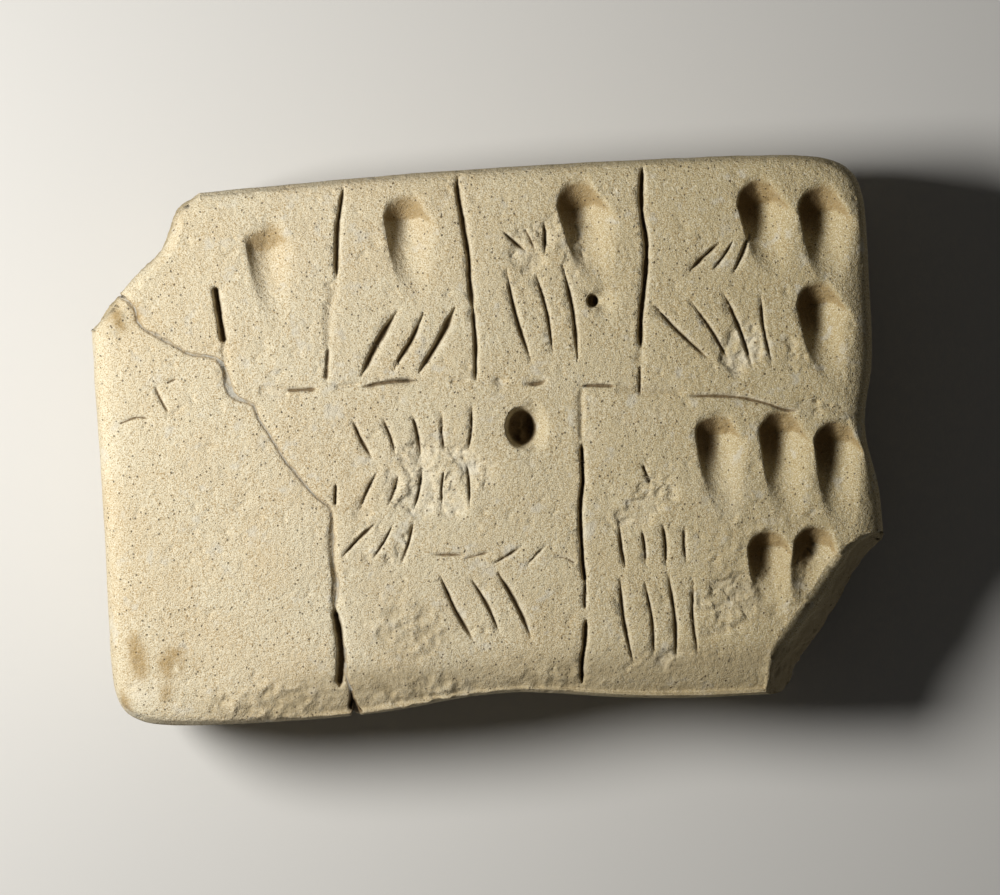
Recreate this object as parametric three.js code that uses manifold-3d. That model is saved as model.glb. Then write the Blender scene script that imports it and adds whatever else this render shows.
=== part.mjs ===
// A ruled clay tablet that lies on its back, with its inscribed face up.
// Millimetres, +Z up, +X to the right of the face and +Y to its top edge.
// The lump is a pillow: two square patches, face and back, that share one rim.
// Two broken corners, a mended crack, ruled lines, stylus dents and strokes are cut from it.
import * as THREE from "three";
import { mergeVertices } from "three/addons/utils/BufferGeometryUtils.js";
import Module from "manifold-3d";

const wasm = await Module();
wasm.setup();

// ---- Driving dimensions, mm and degrees ----

const LEFT = 39.1; // half width to the left of the middle
const RIGHT = 39.4;
const TOP = 27.2; // half height of the face above the middle
const BOTTOM = 27.3;
const THICKNESS = 21;
const RIM_HEIGHT = 11.5; // where the lump is widest
const FACE_SAG = 1.1; // how far the face falls towards its corners
const FLAT_SPOT = 0.3; // share of the back's half width that lies flat

// Shallow bows of the outline: how deep each is, where its middle is and how far it spreads.
const LEFT_BOW = { depth: 0.2, middle: -5, spread: 12 };
const RIGHT_WAIST = { depth: 1.25, middle: -0.8, spread: 5 };
const BOTTOM_HOLLOW = { depth: 1.6, middle: 0.5, spread: 11 };
const TOP_ARCH = { middle: 10, bend: 0.0006 }; // the top edge falls by bend * distance^2

const PATCH_CELLS = 26; // cells along each side of a patch
const RIM_CROWDING = 2; // power by which a patch's grid lines crowd towards the rim
const FLAT_RAYS = 0.25; // share of the back patch's rays in the flat spot

// Superellipse exponents: of the outline, and of the sections from the middle to the rim.
const RIM_SQUARENESS = 14;
const MIDDLE_SQUARENESS = 3;
const FACE_REACH = 36;
const FACE_RISE = 9;
const BACK_REACH = 3;
const BACK_RISE = 2.3;

// Along the lower part of its right side the face slopes down to the edge.
const DIP_START = 36; // place across where it starts
const DIP_SLOPE = 0.42;
const DIP_TOP = [12, 18]; // heights between which it fades out

const STYLUS_RADIUS = 2.1; // round stylus that pressed the dents
const STYLUS_SIDES = 18;
const CRACK_WIDTH = 0.45;
const CRACK_DEPTH = 0.7;
const GROOVE_LIFT = 0.4; // how far a groove's cutter stands above the face
const GROOVE_END = 0.25; // share of its width and depth that a groove has at its ends
const SHORT_STROKE = 0.86; // share of the length that every second stroke of a row has
const THIN_STROKE = 0.8; // share of the width that it has
const PATH_STEP = 3; // distance between the points of a curved cutter
const WELD = 1e-4; // distance under which two vertices are one
const BREAK_DEPTHS = [24, 12, 7.5, 4.5, 2.5, 1, 0, -3]; // rings of a corner's cutter
const BEYOND = 30; // how far that cutter reaches away from the lump

// Corner breaks: the edge of each on the face, from the left or right side towards the
// top or bottom, and how far the broken face flares outwards below it.
const WORN_CORNER = {
  edge: [[-41, 10.6], [-38.4, 13], [-36.6, 15.1], [-34.3, 17.8], [-31.4, 20.2], [-30.3, 22.2],
    [-29.4, 24.5], [-27.4, 25.7], [-25, 27.9]],
  outward: [-0.72, 0.69],
  flare: 0.8,
  flareDepth: 2,
};
const BROKEN_CORNER = {
  edge: [[41.5, -10.6], [36.9, -11.9], [34.4, -13.9], [31.4, -18.2], [28.2, -22.1], [27, -25],
    [25.6, -29.5]],
  outward: [0.84, -0.54],
  flare: 3.2,
  flareDepth: 5,
};

// The mended break runs from the worn corner down to the bottom edge, and right through.
const CRACK = [[-36.8, 17.2], [-34.3, 14.6], [-32.1, 12], [-26.1, 9.2], [-25.2, 6], [-23, 4.6],
  [-21.2, 0.6], [-18.3, -3.9], [-16, -6.2], [-15.8, -11], [-16, -16.5], [-15.4, -22.3],
  [-14.4, -29]];

// Dents of the round stylus, pressed aslant: x and top of the dent, its length and depth, how
// far it leans to the right on its way down, and how far below its top its deepest place is.
const DENTS = [
  { x: -21.2, top: 22.8, length: 9.2, depth: 1.4, lean: 3, foot: 2.8 },
  { x: -7.1, top: 24.9, length: 9.6, depth: 2.3, lean: 3, foot: 2.6 },
  { x: 10.1, top: 25.3, length: 10.2, depth: 2.8, lean: 10, foot: 2.8 },
  { x: 28.2, top: 24.5, length: 9.2, depth: 2.8, lean: 8, foot: 2.6 },
  { x: 34.5, top: 23.6, length: 9.7, depth: 2.7, lean: 4, foot: 2.8 },
  { x: 33.6, top: 13.8, length: 9.8, depth: 2.7, lean: 7, foot: 2.2 },
  { x: 22.8, top: 1.2, length: 9.8, depth: 2, lean: 3, foot: 2.2 },
  { x: 29.3, top: 1.2, length: 10.4, depth: 2.5, lean: 2, foot: 2.2 },
  { x: 34.8, top: -0.1, length: 10.4, depth: 2.6, lean: 1, foot: 2.2 },
  { x: 27.5, top: -10.7, length: 8.6, depth: 2.2, lean: 0, foot: 1.7 },
  { x: 32.6, top: -10.6, length: 8.4, depth: 2.2, lean: -13, foot: 1.7 },
];

// Round holes of a thinner, upright stylus: middle, half width, half height and depth.
const HOLES = [
  { x: 3.55, y: 0.9, halfWidth: 1.65, halfHeight: 2.15, depth: 3.6 },
  { x: 11.4, y: 13.2, halfWidth: 0.65, halfHeight: 0.75, depth: 1.8 },
];

// Ruled lines that part the cases.
const RULINGS = [
  { path: [[-26.25, 16.6], [-25.7, 11.2]], width: 0.85, depth: 1 },
  { path: [[-12.9, 25.9], [-13.95, 20], [-14.05, 16.8]], width: 0.55, depth: 0.6 },
  { path: [[-15.3, 10], [-15.7, 6.5]], width: 0.45, depth: 0.4 },
  { path: [[-1.4, 26.4], [-0.8, 19.5], [-0.75, 6]], width: 0.6, depth: 0.7 },
  { path: [[17, 26.1], [17.05, 18.5], [15.95, 8.2]], width: 0.65, depth: 0.8 },
  { path: [[-15.8, -16.4], [-15.75, -23.9]], width: 0.9, depth: 1 },
  { path: [[9.7, 4.4], [9.4, -4.8], [8.95, -12.5], [9, -17.4]], width: 0.6, depth: 0.8 },
  { path: [[8.9, -18.6], [8.2, -24.9]], width: 0.6, depth: 0.8 },
  { path: [[-22.4, 5.8], [-16.9, 5.9]], width: 0.6, depth: 0.4 },
  { path: [[-12, 5.9], [-6.7, 6.2]], width: 0.5, depth: 0.5 },
  { path: [[0.9, 5.5], [6.4, 5.4]], width: 0.5, depth: 0.4 },
  { path: [[9.9, 4.6], [13.2, 4.6], [20.6, 3.1]], width: 0.5, depth: 0.3 },
  { path: [[20.6, 3], [26, 2.6], [31.5, 0.9], [38, 0]], width: 0.5, depth: 0.4 },
];

// Rows of shallow strokes in the cases. Each row has its first stroke's middle, the step from
// one stroke to the next, its strokes' length, their lean from upright and the turn between
// neighbours.
const STROKE_ROWS = [
  { from: [-10.2, 10.1], step: [2.9, 0], count: 3, length: 7.4, lean: 32, turn: 0, width: 0.8 },
  { from: [3.9, 19.6], step: [1.5, 0.1], count: 3, length: 3.2, lean: -22, turn: 24, width: 0.45 },
  { from: [3.9, 12.2], step: [2.6, 0], count: 3, length: 9.4, lean: -9, turn: 3, width: 0.55 },
  { from: [22.9, 17], step: [1.8, 0], count: 3, length: 4, lean: 38, turn: -12, width: 0.5 },
  { from: [19.9, 9.8], step: [2.9, -0.1], count: 4, length: 8.2, lean: -24, turn: 12, width: 0.5 },
  { from: [-12.4, 0.6], step: [2.7, 0.1], count: 5, length: 4.4, lean: -8, turn: 8, width: 0.45 },
  { from: [-12.1, -4.6], step: [2.5, 0], count: 5, length: 4.2, lean: 14, turn: -7, width: 0.4 },
  { from: [-13.3, -9.4], step: [2.4, -0.3], count: 3, length: 4.4, lean: 34, turn: -14, width: 0.4 },
  { from: [-4.4, -11.4], step: [2.9, -0.2], count: 4, length: 3.2, lean: 70, turn: -16, width: 0.35 },
  { from: [-3.9, -16.8], step: [2.9, 0], count: 3, length: 7.2, lean: -24, turn: 0, width: 0.6 },
  { from: [13, -11.6], step: [2.1, 0], count: 4, length: 4.2, lean: -2, turn: 2, width: 0.45 },
  { from: [13, -19], step: [2.3, 0], count: 4, length: 8.6, lean: -3, turn: 2, width: 0.5 },
];

// ---- Shared helpers ----

/** Turns a closed three.js geometry into a solid that can be joined and cut. */
function solidOf(geometry) {
  const bare = geometry.clone();
  bare.deleteAttribute("normal");
  bare.deleteAttribute("uv");
  const merged = mergeVertices(bare, WELD);
  return new wasm.Manifold(new wasm.Mesh({
    numProp: 3,
    vertProperties: new Float32Array(merged.attributes.position.array),
    triVerts: new Uint32Array(merged.index.array),
  }));
}

/** Turns a solid back into a geometry with flat-shaded faces. */
function geometryOf(solid) {
  const mesh = solid.getMesh();
  const geometry = new THREE.BufferGeometry();
  geometry.setAttribute("position", new THREE.BufferAttribute(mesh.vertProperties, 3));
  geometry.setIndex(new THREE.BufferAttribute(mesh.triVerts, 1));
  geometry.computeVertexNormals();
  return geometry;
}

/** Closed skin through a stack of rings with as many points each. `cap` is the flat outline
 *  that the first and last ring are filled by. */
function loft(rings, cap) {
  const sides = rings[0].length;
  const faces = [];
  for (let ring = 0; ring + 1 < rings.length; ring += 1) {
    for (let side = 0; side < sides; side += 1) {
      const a = ring * sides + side;
      const b = ring * sides + ((side + 1) % sides);
      faces.push(a, b, b + sides, a, b + sides, a + sides);
    }
  }
  const last = (rings.length - 1) * sides;
  const isClockwise = THREE.ShapeUtils.isClockWise(cap);
  for (const triangle of THREE.ShapeUtils.triangulateShape(cap, [])) {
    const [a, b, c] = isClockwise ? triangle.reverse() : triangle;
    faces.push(a, c, b, last + a, last + b, last + c);
  }
  const geometry = new THREE.BufferGeometry();
  const points = rings.flat().flatMap((point) => point.toArray());
  geometry.setAttribute("position", new THREE.Float32BufferAttribute(points, 3));
  geometry.setIndex(faces);
  return geometry;
}

/** Same solid whichever way its faces were wound. */
function outward(geometry) {
  const solid = solidOf(geometry);
  if (solid.volume() > 0) return solid;
  const index = geometry.index.array;
  for (let i = 0; i < index.length; i += 3) [index[i], index[i + 1]] = [index[i + 1], index[i]];
  return solidOf(geometry);
}

const radians = THREE.MathUtils.degToRad;
/** Depth of a bell-shaped bow at a place along an edge. */
const bowAt = (place, { depth, middle, spread }) => (
  depth * Math.exp(-(((place - middle) / spread) ** 2))
);

// ---- The lump ----

/** Half width of the outline at a height on the face; the right side is a little waisted. */
function halfWidth(acrossShare, y) {
  return acrossShare < 0 ? LEFT - bowAt(y, LEFT_BOW) : RIGHT - bowAt(y, RIGHT_WAIST);
}

/** Half height of the outline at a place across; the bottom edge is hollowed in its middle. */
function halfHeight(upShare, x) {
  if (upShare < 0) return BOTTOM - bowAt(x, BOTTOM_HOLLOW);
  return TOP - TOP_ARCH.bend * (x - TOP_ARCH.middle) ** 2;
}

/** Reach and height along one ray of the lump, from its middle (0) to the rim (1).
 *  Both follow a superellipse reach^p + height^q = 1, which is walked evenly. */
function profile(ray, p, q) {
  if (ray === 1) return [1, 0];
  const angle = (Math.PI / 2) * ray ** (p / 2);
  return [Math.sin(angle) ** (2 / p), Math.cos(angle) ** (2 / q)];
}

/** Point of the lump's skin: u and v run from -1 to 1 over the patch. */
function skinPoint(u, v, isFace) {
  const ray = Math.max(Math.abs(u), Math.abs(v));
  if (ray === 0) return new THREE.Vector3(0, 0, isFace ? THICKNESS : 0);
  const squareness = MIDDLE_SQUARENESS + (RIM_SQUARENESS - MIDDLE_SQUARENESS) * ray ** 3;
  const round = (Math.abs(u / ray) ** squareness + Math.abs(v / ray) ** squareness)
    ** (-1 / squareness);
  const across = (u / ray) * round;
  const up = (v / ray) * round;
  const beyond = Math.max(ray - FLAT_RAYS, 0) / (1 - FLAT_RAYS);
  let [reach, height] = isFace
    ? profile(ray, FACE_REACH, FACE_RISE)
    : profile(beyond, BACK_REACH, BACK_RISE);
  if (!isFace) {
    reach = ray < FLAT_RAYS ? (FLAT_SPOT * ray) / FLAT_RAYS : FLAT_SPOT + (1 - FLAT_SPOT) * reach;
  }
  const x = reach * across * halfWidth(across, TOP * up);
  const y = reach * up * halfHeight(up, RIGHT * across);
  if (!isFace) return new THREE.Vector3(x, y, RIM_HEIGHT * (1 - height));
  const sag = (FACE_SAG / 2) * reach ** 2 * (across ** 2 + up ** 2);
  const dip = DIP_SLOPE * Math.max(x - DIP_START, 0)
    * (1 - THREE.MathUtils.smoothstep(y, ...DIP_TOP));
  return new THREE.Vector3(x, y, RIM_HEIGHT + (THICKNESS - RIM_HEIGHT - sag - dip) * height);
}

/** Place from -1 to 1 of a patch's grid line. */
function gridLine(index) {
  const t = (2 * index) / PATCH_CELLS - 1;
  return Math.sign(t) * (1 - (1 - Math.abs(t)) ** RIM_CROWDING);
}

/** The whole lump before it broke: the face and the back patch, sewn at the rim. */
function lump() {
  const row = PATCH_CELLS + 1;
  const points = [];
  const faces = [];
  for (const isFace of [true, false]) {
    const first = points.length / 3;
    for (let i = 0; i < row; i += 1) {
      for (let j = 0; j < row; j += 1) {
        points.push(...skinPoint(gridLine(i), gridLine(j), isFace).toArray());
      }
    }
    for (let i = 0; i < PATCH_CELLS; i += 1) {
      for (let j = 0; j < PATCH_CELLS; j += 1) {
        const a = first + i * row + j;
        const corners = [a, a + row, a + row + 1, a + 1];
        const [p, q, r, s] = isFace ? corners : corners.reverse();
        faces.push(p, q, r, p, r, s);
      }
    }
  }
  const geometry = new THREE.BufferGeometry();
  geometry.setAttribute("position", new THREE.Float32BufferAttribute(points, 3));
  geometry.setIndex(faces);
  return mergeVertices(geometry, WELD);
}

const lumpGeometry = lump();
const lumpMesh = new THREE.Mesh(lumpGeometry, new THREE.MeshStandardMaterial());
const probe = new THREE.Raycaster();
const DOWN = new THREE.Vector3(0, 0, -1);

/** Height of the face under a point, found by a ray from above; the rim's where it misses. */
function faceHeight(x, y) {
  probe.set(new THREE.Vector3(x, y, 2 * THICKNESS), DOWN);
  const [hit] = probe.intersectObject(lumpMesh);
  return hit ? hit.point.z : RIM_HEIGHT;
}

// ---- Cuts ----

/** Smooth path through a few points, as evenly spaced Vector2s. */
function pathThrough(points, spacing) {
  const curve = new THREE.SplineCurve(points.map(([x, y]) => new THREE.Vector2(x, y)));
  const steps = Math.max(1, Math.round(curve.getLength() / spacing));
  return points.length === 2 && steps < 3 ? curve.getPoints(steps) : curve.getSpacedPoints(steps);
}

/** Unit vectors across a path, to its left, at each of its points. */
function acrossPath(path) {
  return path.map((_, i) => {
    const along = path[Math.min(i + 1, path.length - 1)].clone().sub(path[Math.max(i - 1, 0)]);
    return new THREE.Vector2(-along.y, along.x).normalize();
  });
}

/** Cutter beyond a corner's broken edge. Below the face the broken surface flares outwards,
 *  quickly at first and then less: flare * (1 - exp(-depth / flareDepth)). */
function cornerCutter({ edge, outward: [outX, outY], flare, flareDepth }) {
  const path = pathThrough(edge, PATH_STEP);
  const far = [path.at(-1), path[0]].map((end) => new THREE.Vector2(
    end.x + BEYOND * outX,
    end.y + BEYOND * outY,
  ));
  const rings = BREAK_DEPTHS.map((depth) => {
    const shift = flare * (1 - Math.exp(-Math.max(depth, 0) / flareDepth));
    return [...path, ...far].map((p) => new THREE.Vector3(
      p.x + shift * outX,
      p.y + shift * outY,
      THICKNESS - FACE_SAG - depth,
    ));
  });
  return outward(loft(rings, [...path, ...far]));
}

/** V-shaped groove along a path on the face, tapering to a point at both ends. */
function grooveCutter(path, width, depth) {
  const across = acrossPath(path);
  const section = [new THREE.Vector2(-1, 1), new THREE.Vector2(0, -1), new THREE.Vector2(1, 1)];
  const rings = path.map((point, i) => {
    const isEnd = i === 0 || i === path.length - 1;
    const share = isEnd ? GROOVE_END : 1;
    const half = ((width * share) / 2) * ((depth * share + GROOVE_LIFT) / (depth * share));
    const z = faceHeight(point.x, point.y);
    return section.map((corner) => new THREE.Vector3(
      point.x + across[i].x * corner.x * half,
      point.y + across[i].y * corner.x * half,
      corner.y > 0 ? z + GROOVE_LIFT : z - depth * share,
    ));
  });
  return outward(loft(rings, section));
}

/** Dent of the round stylus: a cylinder that slants down towards the top of the face. Its worn
 *  end is a plane that rises from the deepest place, the foot, to the top of the dent. */
function dentCutter({ x, top, length, depth, lean, foot }) {
  const slant = Math.atan(depth / (length - foot));
  const rise = Math.atan(depth / foot);
  const reach = 2 * length;
  const cylinder = new THREE.CylinderGeometry(STYLUS_RADIUS, STYLUS_RADIUS, reach, STYLUS_SIDES);
  cylinder.rotateY(Math.PI / STYLUS_SIDES);
  cylinder.translate(0, -reach / 2, STYLUS_RADIUS);
  const points = cylinder.attributes.position;
  for (let i = 0; i < points.count; i += 1) {
    if (points.getY(i) > -length) points.setY(i, points.getZ(i) / Math.tan(rise + slant));
  }
  cylinder.rotateX(-slant);
  cylinder.translate(0, -foot, -depth);
  cylinder.rotateZ(radians(lean));
  cylinder.translate(x, top, faceHeight(x, top - 1));
  return solidOf(cylinder);
}

/** Upright round hole with a domed bottom. */
function holeCutter({ x, y, halfWidth: a, halfHeight: b, depth }) {
  const profilePoints = [new THREE.Vector2(0, -1), new THREE.Vector2(0.6, -0.85),
    new THREE.Vector2(0.9, -0.5), new THREE.Vector2(1, 0), new THREE.Vector2(1.15, 0.3),
    new THREE.Vector2(0, 0.3)];
  const hole = new THREE.LatheGeometry(profilePoints, 14);
  hole.rotateX(Math.PI / 2);
  hole.scale(a, b, depth);
  hole.translate(x, y, faceHeight(x, y));
  return outward(hole);
}

/** Every stroke of a row, as a straight path with its width. */
function strokesOf({ from: [x, y], step: [stepX, stepY], count, length, lean, turn, width }) {
  return Array.from({ length: count }, (_, k) => {
    const angle = radians(lean + turn * (k - (count - 1) / 2));
    const half = (length / 2) * (k % 2 ? SHORT_STROKE : 1);
    const middle = new THREE.Vector2(x + k * stepX, y + k * stepY);
    const along = new THREE.Vector2(Math.sin(angle) * half, Math.cos(angle) * half);
    const path = [1, 0, -1].map((t) => middle.clone().addScaledVector(along, t));
    return { path, width: width * (k % 2 ? THIN_STROKE : 1) };
  });
}

/** The crack: a thin wall right through the lump, less a core that stays whole, so that it
 *  opens the skin all round to one depth. */
function crackCutter() {
  const path = pathThrough(CRACK, PATH_STEP);
  const across = acrossPath(path);
  const leftSide = path.map((p, i) => p.clone().addScaledVector(across[i], CRACK_WIDTH / 2));
  const rightSide = path.map((p, i) => p.clone().addScaledVector(across[i], -CRACK_WIDTH / 2));
  const outline = [...leftSide, ...rightSide.reverse()];
  const rings = [-1, THICKNESS + 1].map((z) => outline.map((p) => new THREE.Vector3(p.x, p.y, z)));
  const core = lumpGeometry.clone();
  core.translate(0, 0, -THICKNESS / 2);
  core.scale(1 - CRACK_DEPTH / RIGHT, 1 - CRACK_DEPTH / TOP, 1 - (2 * CRACK_DEPTH) / THICKNESS);
  core.translate(0, 0, THICKNESS / 2);
  return outward(loft(rings, outline)).subtract(solidOf(core));
}

/** The tablet: the lump less its breaks, dents, holes, ruled lines and strokes. */
function tablet() {
  let body = solidOf(lumpGeometry);
  const cutters = [
    crackCutter(),
    cornerCutter(WORN_CORNER),
    cornerCutter(BROKEN_CORNER),
    ...DENTS.map(dentCutter),
    ...HOLES.map(holeCutter),
    ...RULINGS.map((line) => grooveCutter(pathThrough(line.path, PATH_STEP), line.width, line.depth)),
    ...STROKE_ROWS.flatMap(strokesOf).map(({ path, width }) => grooveCutter(path, width, width)),
  ];
  for (const cutter of cutters) body = body.subtract(cutter);
  const geometry = geometryOf(body);
  geometry.computeBoundingBox();
  const middle = geometry.boundingBox.getCenter(new THREE.Vector3());
  geometry.translate(-middle.x, -middle.y, -geometry.boundingBox.min.z);
  const clay = new THREE.MeshStandardMaterial({ color: 0xcdb892, roughness: 0.95, metalness: 0 });
  const mesh = new THREE.Mesh(geometry, clay);
  mesh.name = "tablet";
  return mesh;
}

const model = new THREE.Group();
model.name = "clay_tablet";
model.add(tablet());

export default model;
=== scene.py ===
"""A ruled clay tablet with stylus dents and strokes, lying on its back on a pale floor.

Sizes and places on the tablet are in millimetres, in the frame that its solid is modelled in:
+X to the right of the inscribed face, +Y to its top edge and +Z out of it. MM turns them into
metres where a mesh, a light or a camera is made.
"""

import logging
import math
from dataclasses import dataclass, field
from enum import Enum

import bpy
import numpy as np
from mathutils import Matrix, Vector


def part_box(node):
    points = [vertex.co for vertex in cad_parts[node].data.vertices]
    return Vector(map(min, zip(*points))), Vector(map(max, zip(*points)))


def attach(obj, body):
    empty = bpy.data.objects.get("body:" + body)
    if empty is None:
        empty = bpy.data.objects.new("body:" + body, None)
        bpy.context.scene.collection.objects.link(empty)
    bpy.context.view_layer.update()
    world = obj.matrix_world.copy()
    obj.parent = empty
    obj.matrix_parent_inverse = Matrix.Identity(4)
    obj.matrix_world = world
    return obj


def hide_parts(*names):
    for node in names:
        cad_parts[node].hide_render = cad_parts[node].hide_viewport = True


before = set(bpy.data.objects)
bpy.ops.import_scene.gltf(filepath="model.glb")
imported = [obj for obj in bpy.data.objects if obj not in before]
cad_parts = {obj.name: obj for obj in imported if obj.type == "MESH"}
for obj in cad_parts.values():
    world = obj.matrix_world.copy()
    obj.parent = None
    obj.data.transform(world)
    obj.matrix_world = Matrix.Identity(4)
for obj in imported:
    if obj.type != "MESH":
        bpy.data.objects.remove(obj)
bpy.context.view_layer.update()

MM = 0.001
FIT_GAP = 0.04
log = logging.getLogger("tablet")
Point = tuple[float, float]
Colour = tuple[float, float, float, float]


# ---- Shared mathematics ----


def ramp(value: np.ndarray, low: float, high: float) -> np.ndarray:
    """Smooth step from 0 at low to 1 at high, or falling where low is the greater.

    Args:
        value: The numbers that are stepped.
        low: Where the result is 0.
        high: Where the result is 1.

    Returns:
        3t^2 - 2t^3 of the share t of the way from low to high.
    """
    share = np.clip((value - low) / (high - low), 0.0, 1.0)
    return share * share * (3.0 - 2.0 * share)


def bell(distance: np.ndarray, spread: float) -> np.ndarray:
    """Bell curve exp(-(distance / spread)^2)."""
    return np.exp(-((distance / spread) ** 2))


def soft_max(a: np.ndarray, b: np.ndarray, reach: float) -> np.ndarray:
    """Larger of two heights, rounded where they come within reach of each other.

    Args:
        a: First heights.
        b: Second heights.
        reach: Height over which the two blend.

    Returns:
        max(a, b) plus a quarter of reach times the square of their closeness.
    """
    closeness = np.clip(1.0 - np.abs(a - b) / reach, 0.0, 1.0)
    return np.maximum(a, b) + 0.25 * reach * closeness**2


def smooth_path(points: list[Point], spacing: float) -> np.ndarray:
    """Catmull-Rom curve through a few points, as evenly spaced points.

    Args:
        points: The points that the curve goes through.
        spacing: Distance between the points that come back.

    Returns:
        An array of places, two numbers each.
    """
    knots = np.array(points, dtype=float)
    padded = np.vstack([2 * knots[0] - knots[1], knots, 2 * knots[-1] - knots[-2]])
    t = np.linspace(0.0, 1.0, 24, endpoint=False)[:, None]
    pieces = []
    for before, start, end, after in zip(padded, padded[1:], padded[2:], padded[3:]):
        bend = 2 * before - 5 * start + 4 * end - after
        twist = -before + 3 * start - 3 * end + after
        pieces.append(start + 0.5 * ((end - before) * t + bend * t**2 + twist * t**3))
    dense = np.vstack([*pieces, knots[-1:]])
    steps = np.hypot(*np.diff(dense, axis=0).T)
    travelled = np.concatenate([[0.0], np.cumsum(steps)])
    count = max(2, int(round(travelled[-1] / spacing)) + 1)
    even = np.linspace(0.0, travelled[-1], count)
    return np.column_stack([np.interp(even, travelled, dense[:, k]) for k in (0, 1)])


def along_path(x: np.ndarray, y: np.ndarray, path: np.ndarray) -> tuple[np.ndarray, ...]:
    """How places lie beside a path.

    Args:
        x: Places across.
        y: Places up.
        path: The path's points.

    Returns:
        The distance to the path, the side (positive on its left) and the share of the path's
        length that is passed at the nearest point.
    """
    nearest = np.full(x.shape, np.inf)
    side = np.zeros(x.shape)
    passed = np.zeros(x.shape)
    segments = np.diff(path, axis=0)
    lengths = np.hypot(*segments.T)
    starts = np.concatenate([[0.0], np.cumsum(lengths)])
    for start, segment, length, before in zip(path, segments, lengths, starts):
        dx, dy = x - start[0], y - start[1]
        share = np.clip((dx * segment[0] + dy * segment[1]) / length**2, 0.0, 1.0)
        distance = np.hypot(dx - share * segment[0], dy - share * segment[1])
        closer = distance < nearest
        nearest = np.where(closer, distance, nearest)
        side = np.where(closer, np.sign(segment[0] * dy - segment[1] * dx), side)
        passed = np.where(closer, (before + share * length) / starts[-1], passed)
    return nearest, side, passed


class Grain:
    """Smooth random relief in space, the same on each run."""

    CELLS = 32
    # A turned lattice keeps its planes out of line with the face.
    TURN = np.array([[0.8, -0.48, 0.36], [0.6, 0.64, -0.48], [0.0, 0.6, 0.8]])
    # Each layer of a sum is taken from another part of the lattice.
    APART = 17.3

    def __init__(self, seed: int) -> None:
        """Fills a small cube of random values that repeats in all directions."""
        self.table = np.random.default_rng(seed).uniform(-1.0, 1.0, (self.CELLS,) * 3)

    def at(self, places: np.ndarray, spacing: float) -> np.ndarray:
        """Value noise: the eight values round a place, blended by 6t^5 - 15t^4 + 10t^3.

        Args:
            places: Points in space, three numbers each.
            spacing: Distance between random values, in the places' unit.

        Returns:
            Numbers between -1 and 1.
        """
        turned = (places @ self.TURN / spacing).T
        cell = np.floor(turned)
        t = turned - cell
        t = t**3 * (t * (6.0 * t - 15.0) + 10.0)
        near = cell.astype(np.int64) % self.CELLS
        far = (near + 1) % self.CELLS
        flat = self.table.ravel()
        layers = []
        for x in (near[0], far[0]):
            rows = []
            for y in (near[1], far[1]):
                row = (x * self.CELLS + y) * self.CELLS
                first = flat[row + near[2]]
                rows.append(first + t[2] * (flat[row + far[2]] - first))
            layers.append(rows[0] + t[1] * (rows[1] - rows[0]))
        return layers[0] + t[0] * (layers[1] - layers[0])

    def layered(self, places: np.ndarray, spacing: float, layers: int) -> np.ndarray:
        """Sum of layers, each at half the spacing and half the height of the one before.

        Args:
            places: Points in space, three numbers each.
            spacing: Spacing of the first layer.
            layers: How many layers.

        Returns:
            Numbers between -2 and 2.
        """
        shifts = (self.APART * k for k in range(layers))
        return sum(
            self.at(places + shift, spacing / 2**k) / 2**k for k, shift in enumerate(shifts))


@dataclass(frozen=True)
class Rough:
    """One kind of random relief: its height, spacing and layers, and its part of the lattice."""

    height: float
    spacing: float
    layers: int = 1
    shift: float = 0.0

    def over(self, places: np.ndarray, grain: Grain) -> np.ndarray:
        """Height of the relief at each place.

        Args:
            places: Points in space, three numbers each.
            grain: Random relief.

        Returns:
            Heights between about -height and height.
        """
        return self.height * grain.layered(places + self.shift, self.spacing, self.layers)


# Relief in millimetres, from the broad swell of the lump to its grains.
SWELL = Rough(0.14, 13.0)
ROLL = Rough(0.06, 5.0)
RIPPLE = Rough(0.03, 1.7, 2)
PITS = Rough(1.0, 0.75, 1, 3.0)
DISC_DRAG = Rough(0.13, 0.9, 2)
HOLE_CRUMBS = Rough(1.0, 0.7, 2)
LINE_WOBBLE = Rough(0.16, 1.1, 2)
FLAKE_EDGES = Rough(1.0, 2.4, 4)
LOWER_FLAKES = Rough(1.0, 1.6, 3, 13.0)
FLAKE_GRIT = Rough(0.07, 0.9, 2, 31.0)
PEBBLES = Rough(1.0, 1.0, 3, 7.0)
STREAKS = Rough(1.5, 0.9, 3)
BREAK_LUMPS = Rough(1.0, 4.0, 2)
BREAK_RIDGES = Rough(0.5, 1.6)
FRACTURE_CHIPS = Rough(0.35, 2.2, 3)
FRACTURE_GRIT = Rough(0.12, 0.8)
CRACK_BEND_X = Rough(0.13, 1.5, 3)
CRACK_BEND_Y = Rough(0.11, 1.3, 3, 5.0)
CRACK_CHIPS = Rough(1.0, 0.8, 1, 9.0)


# ---- What was pressed, ruled and broken ----


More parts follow.
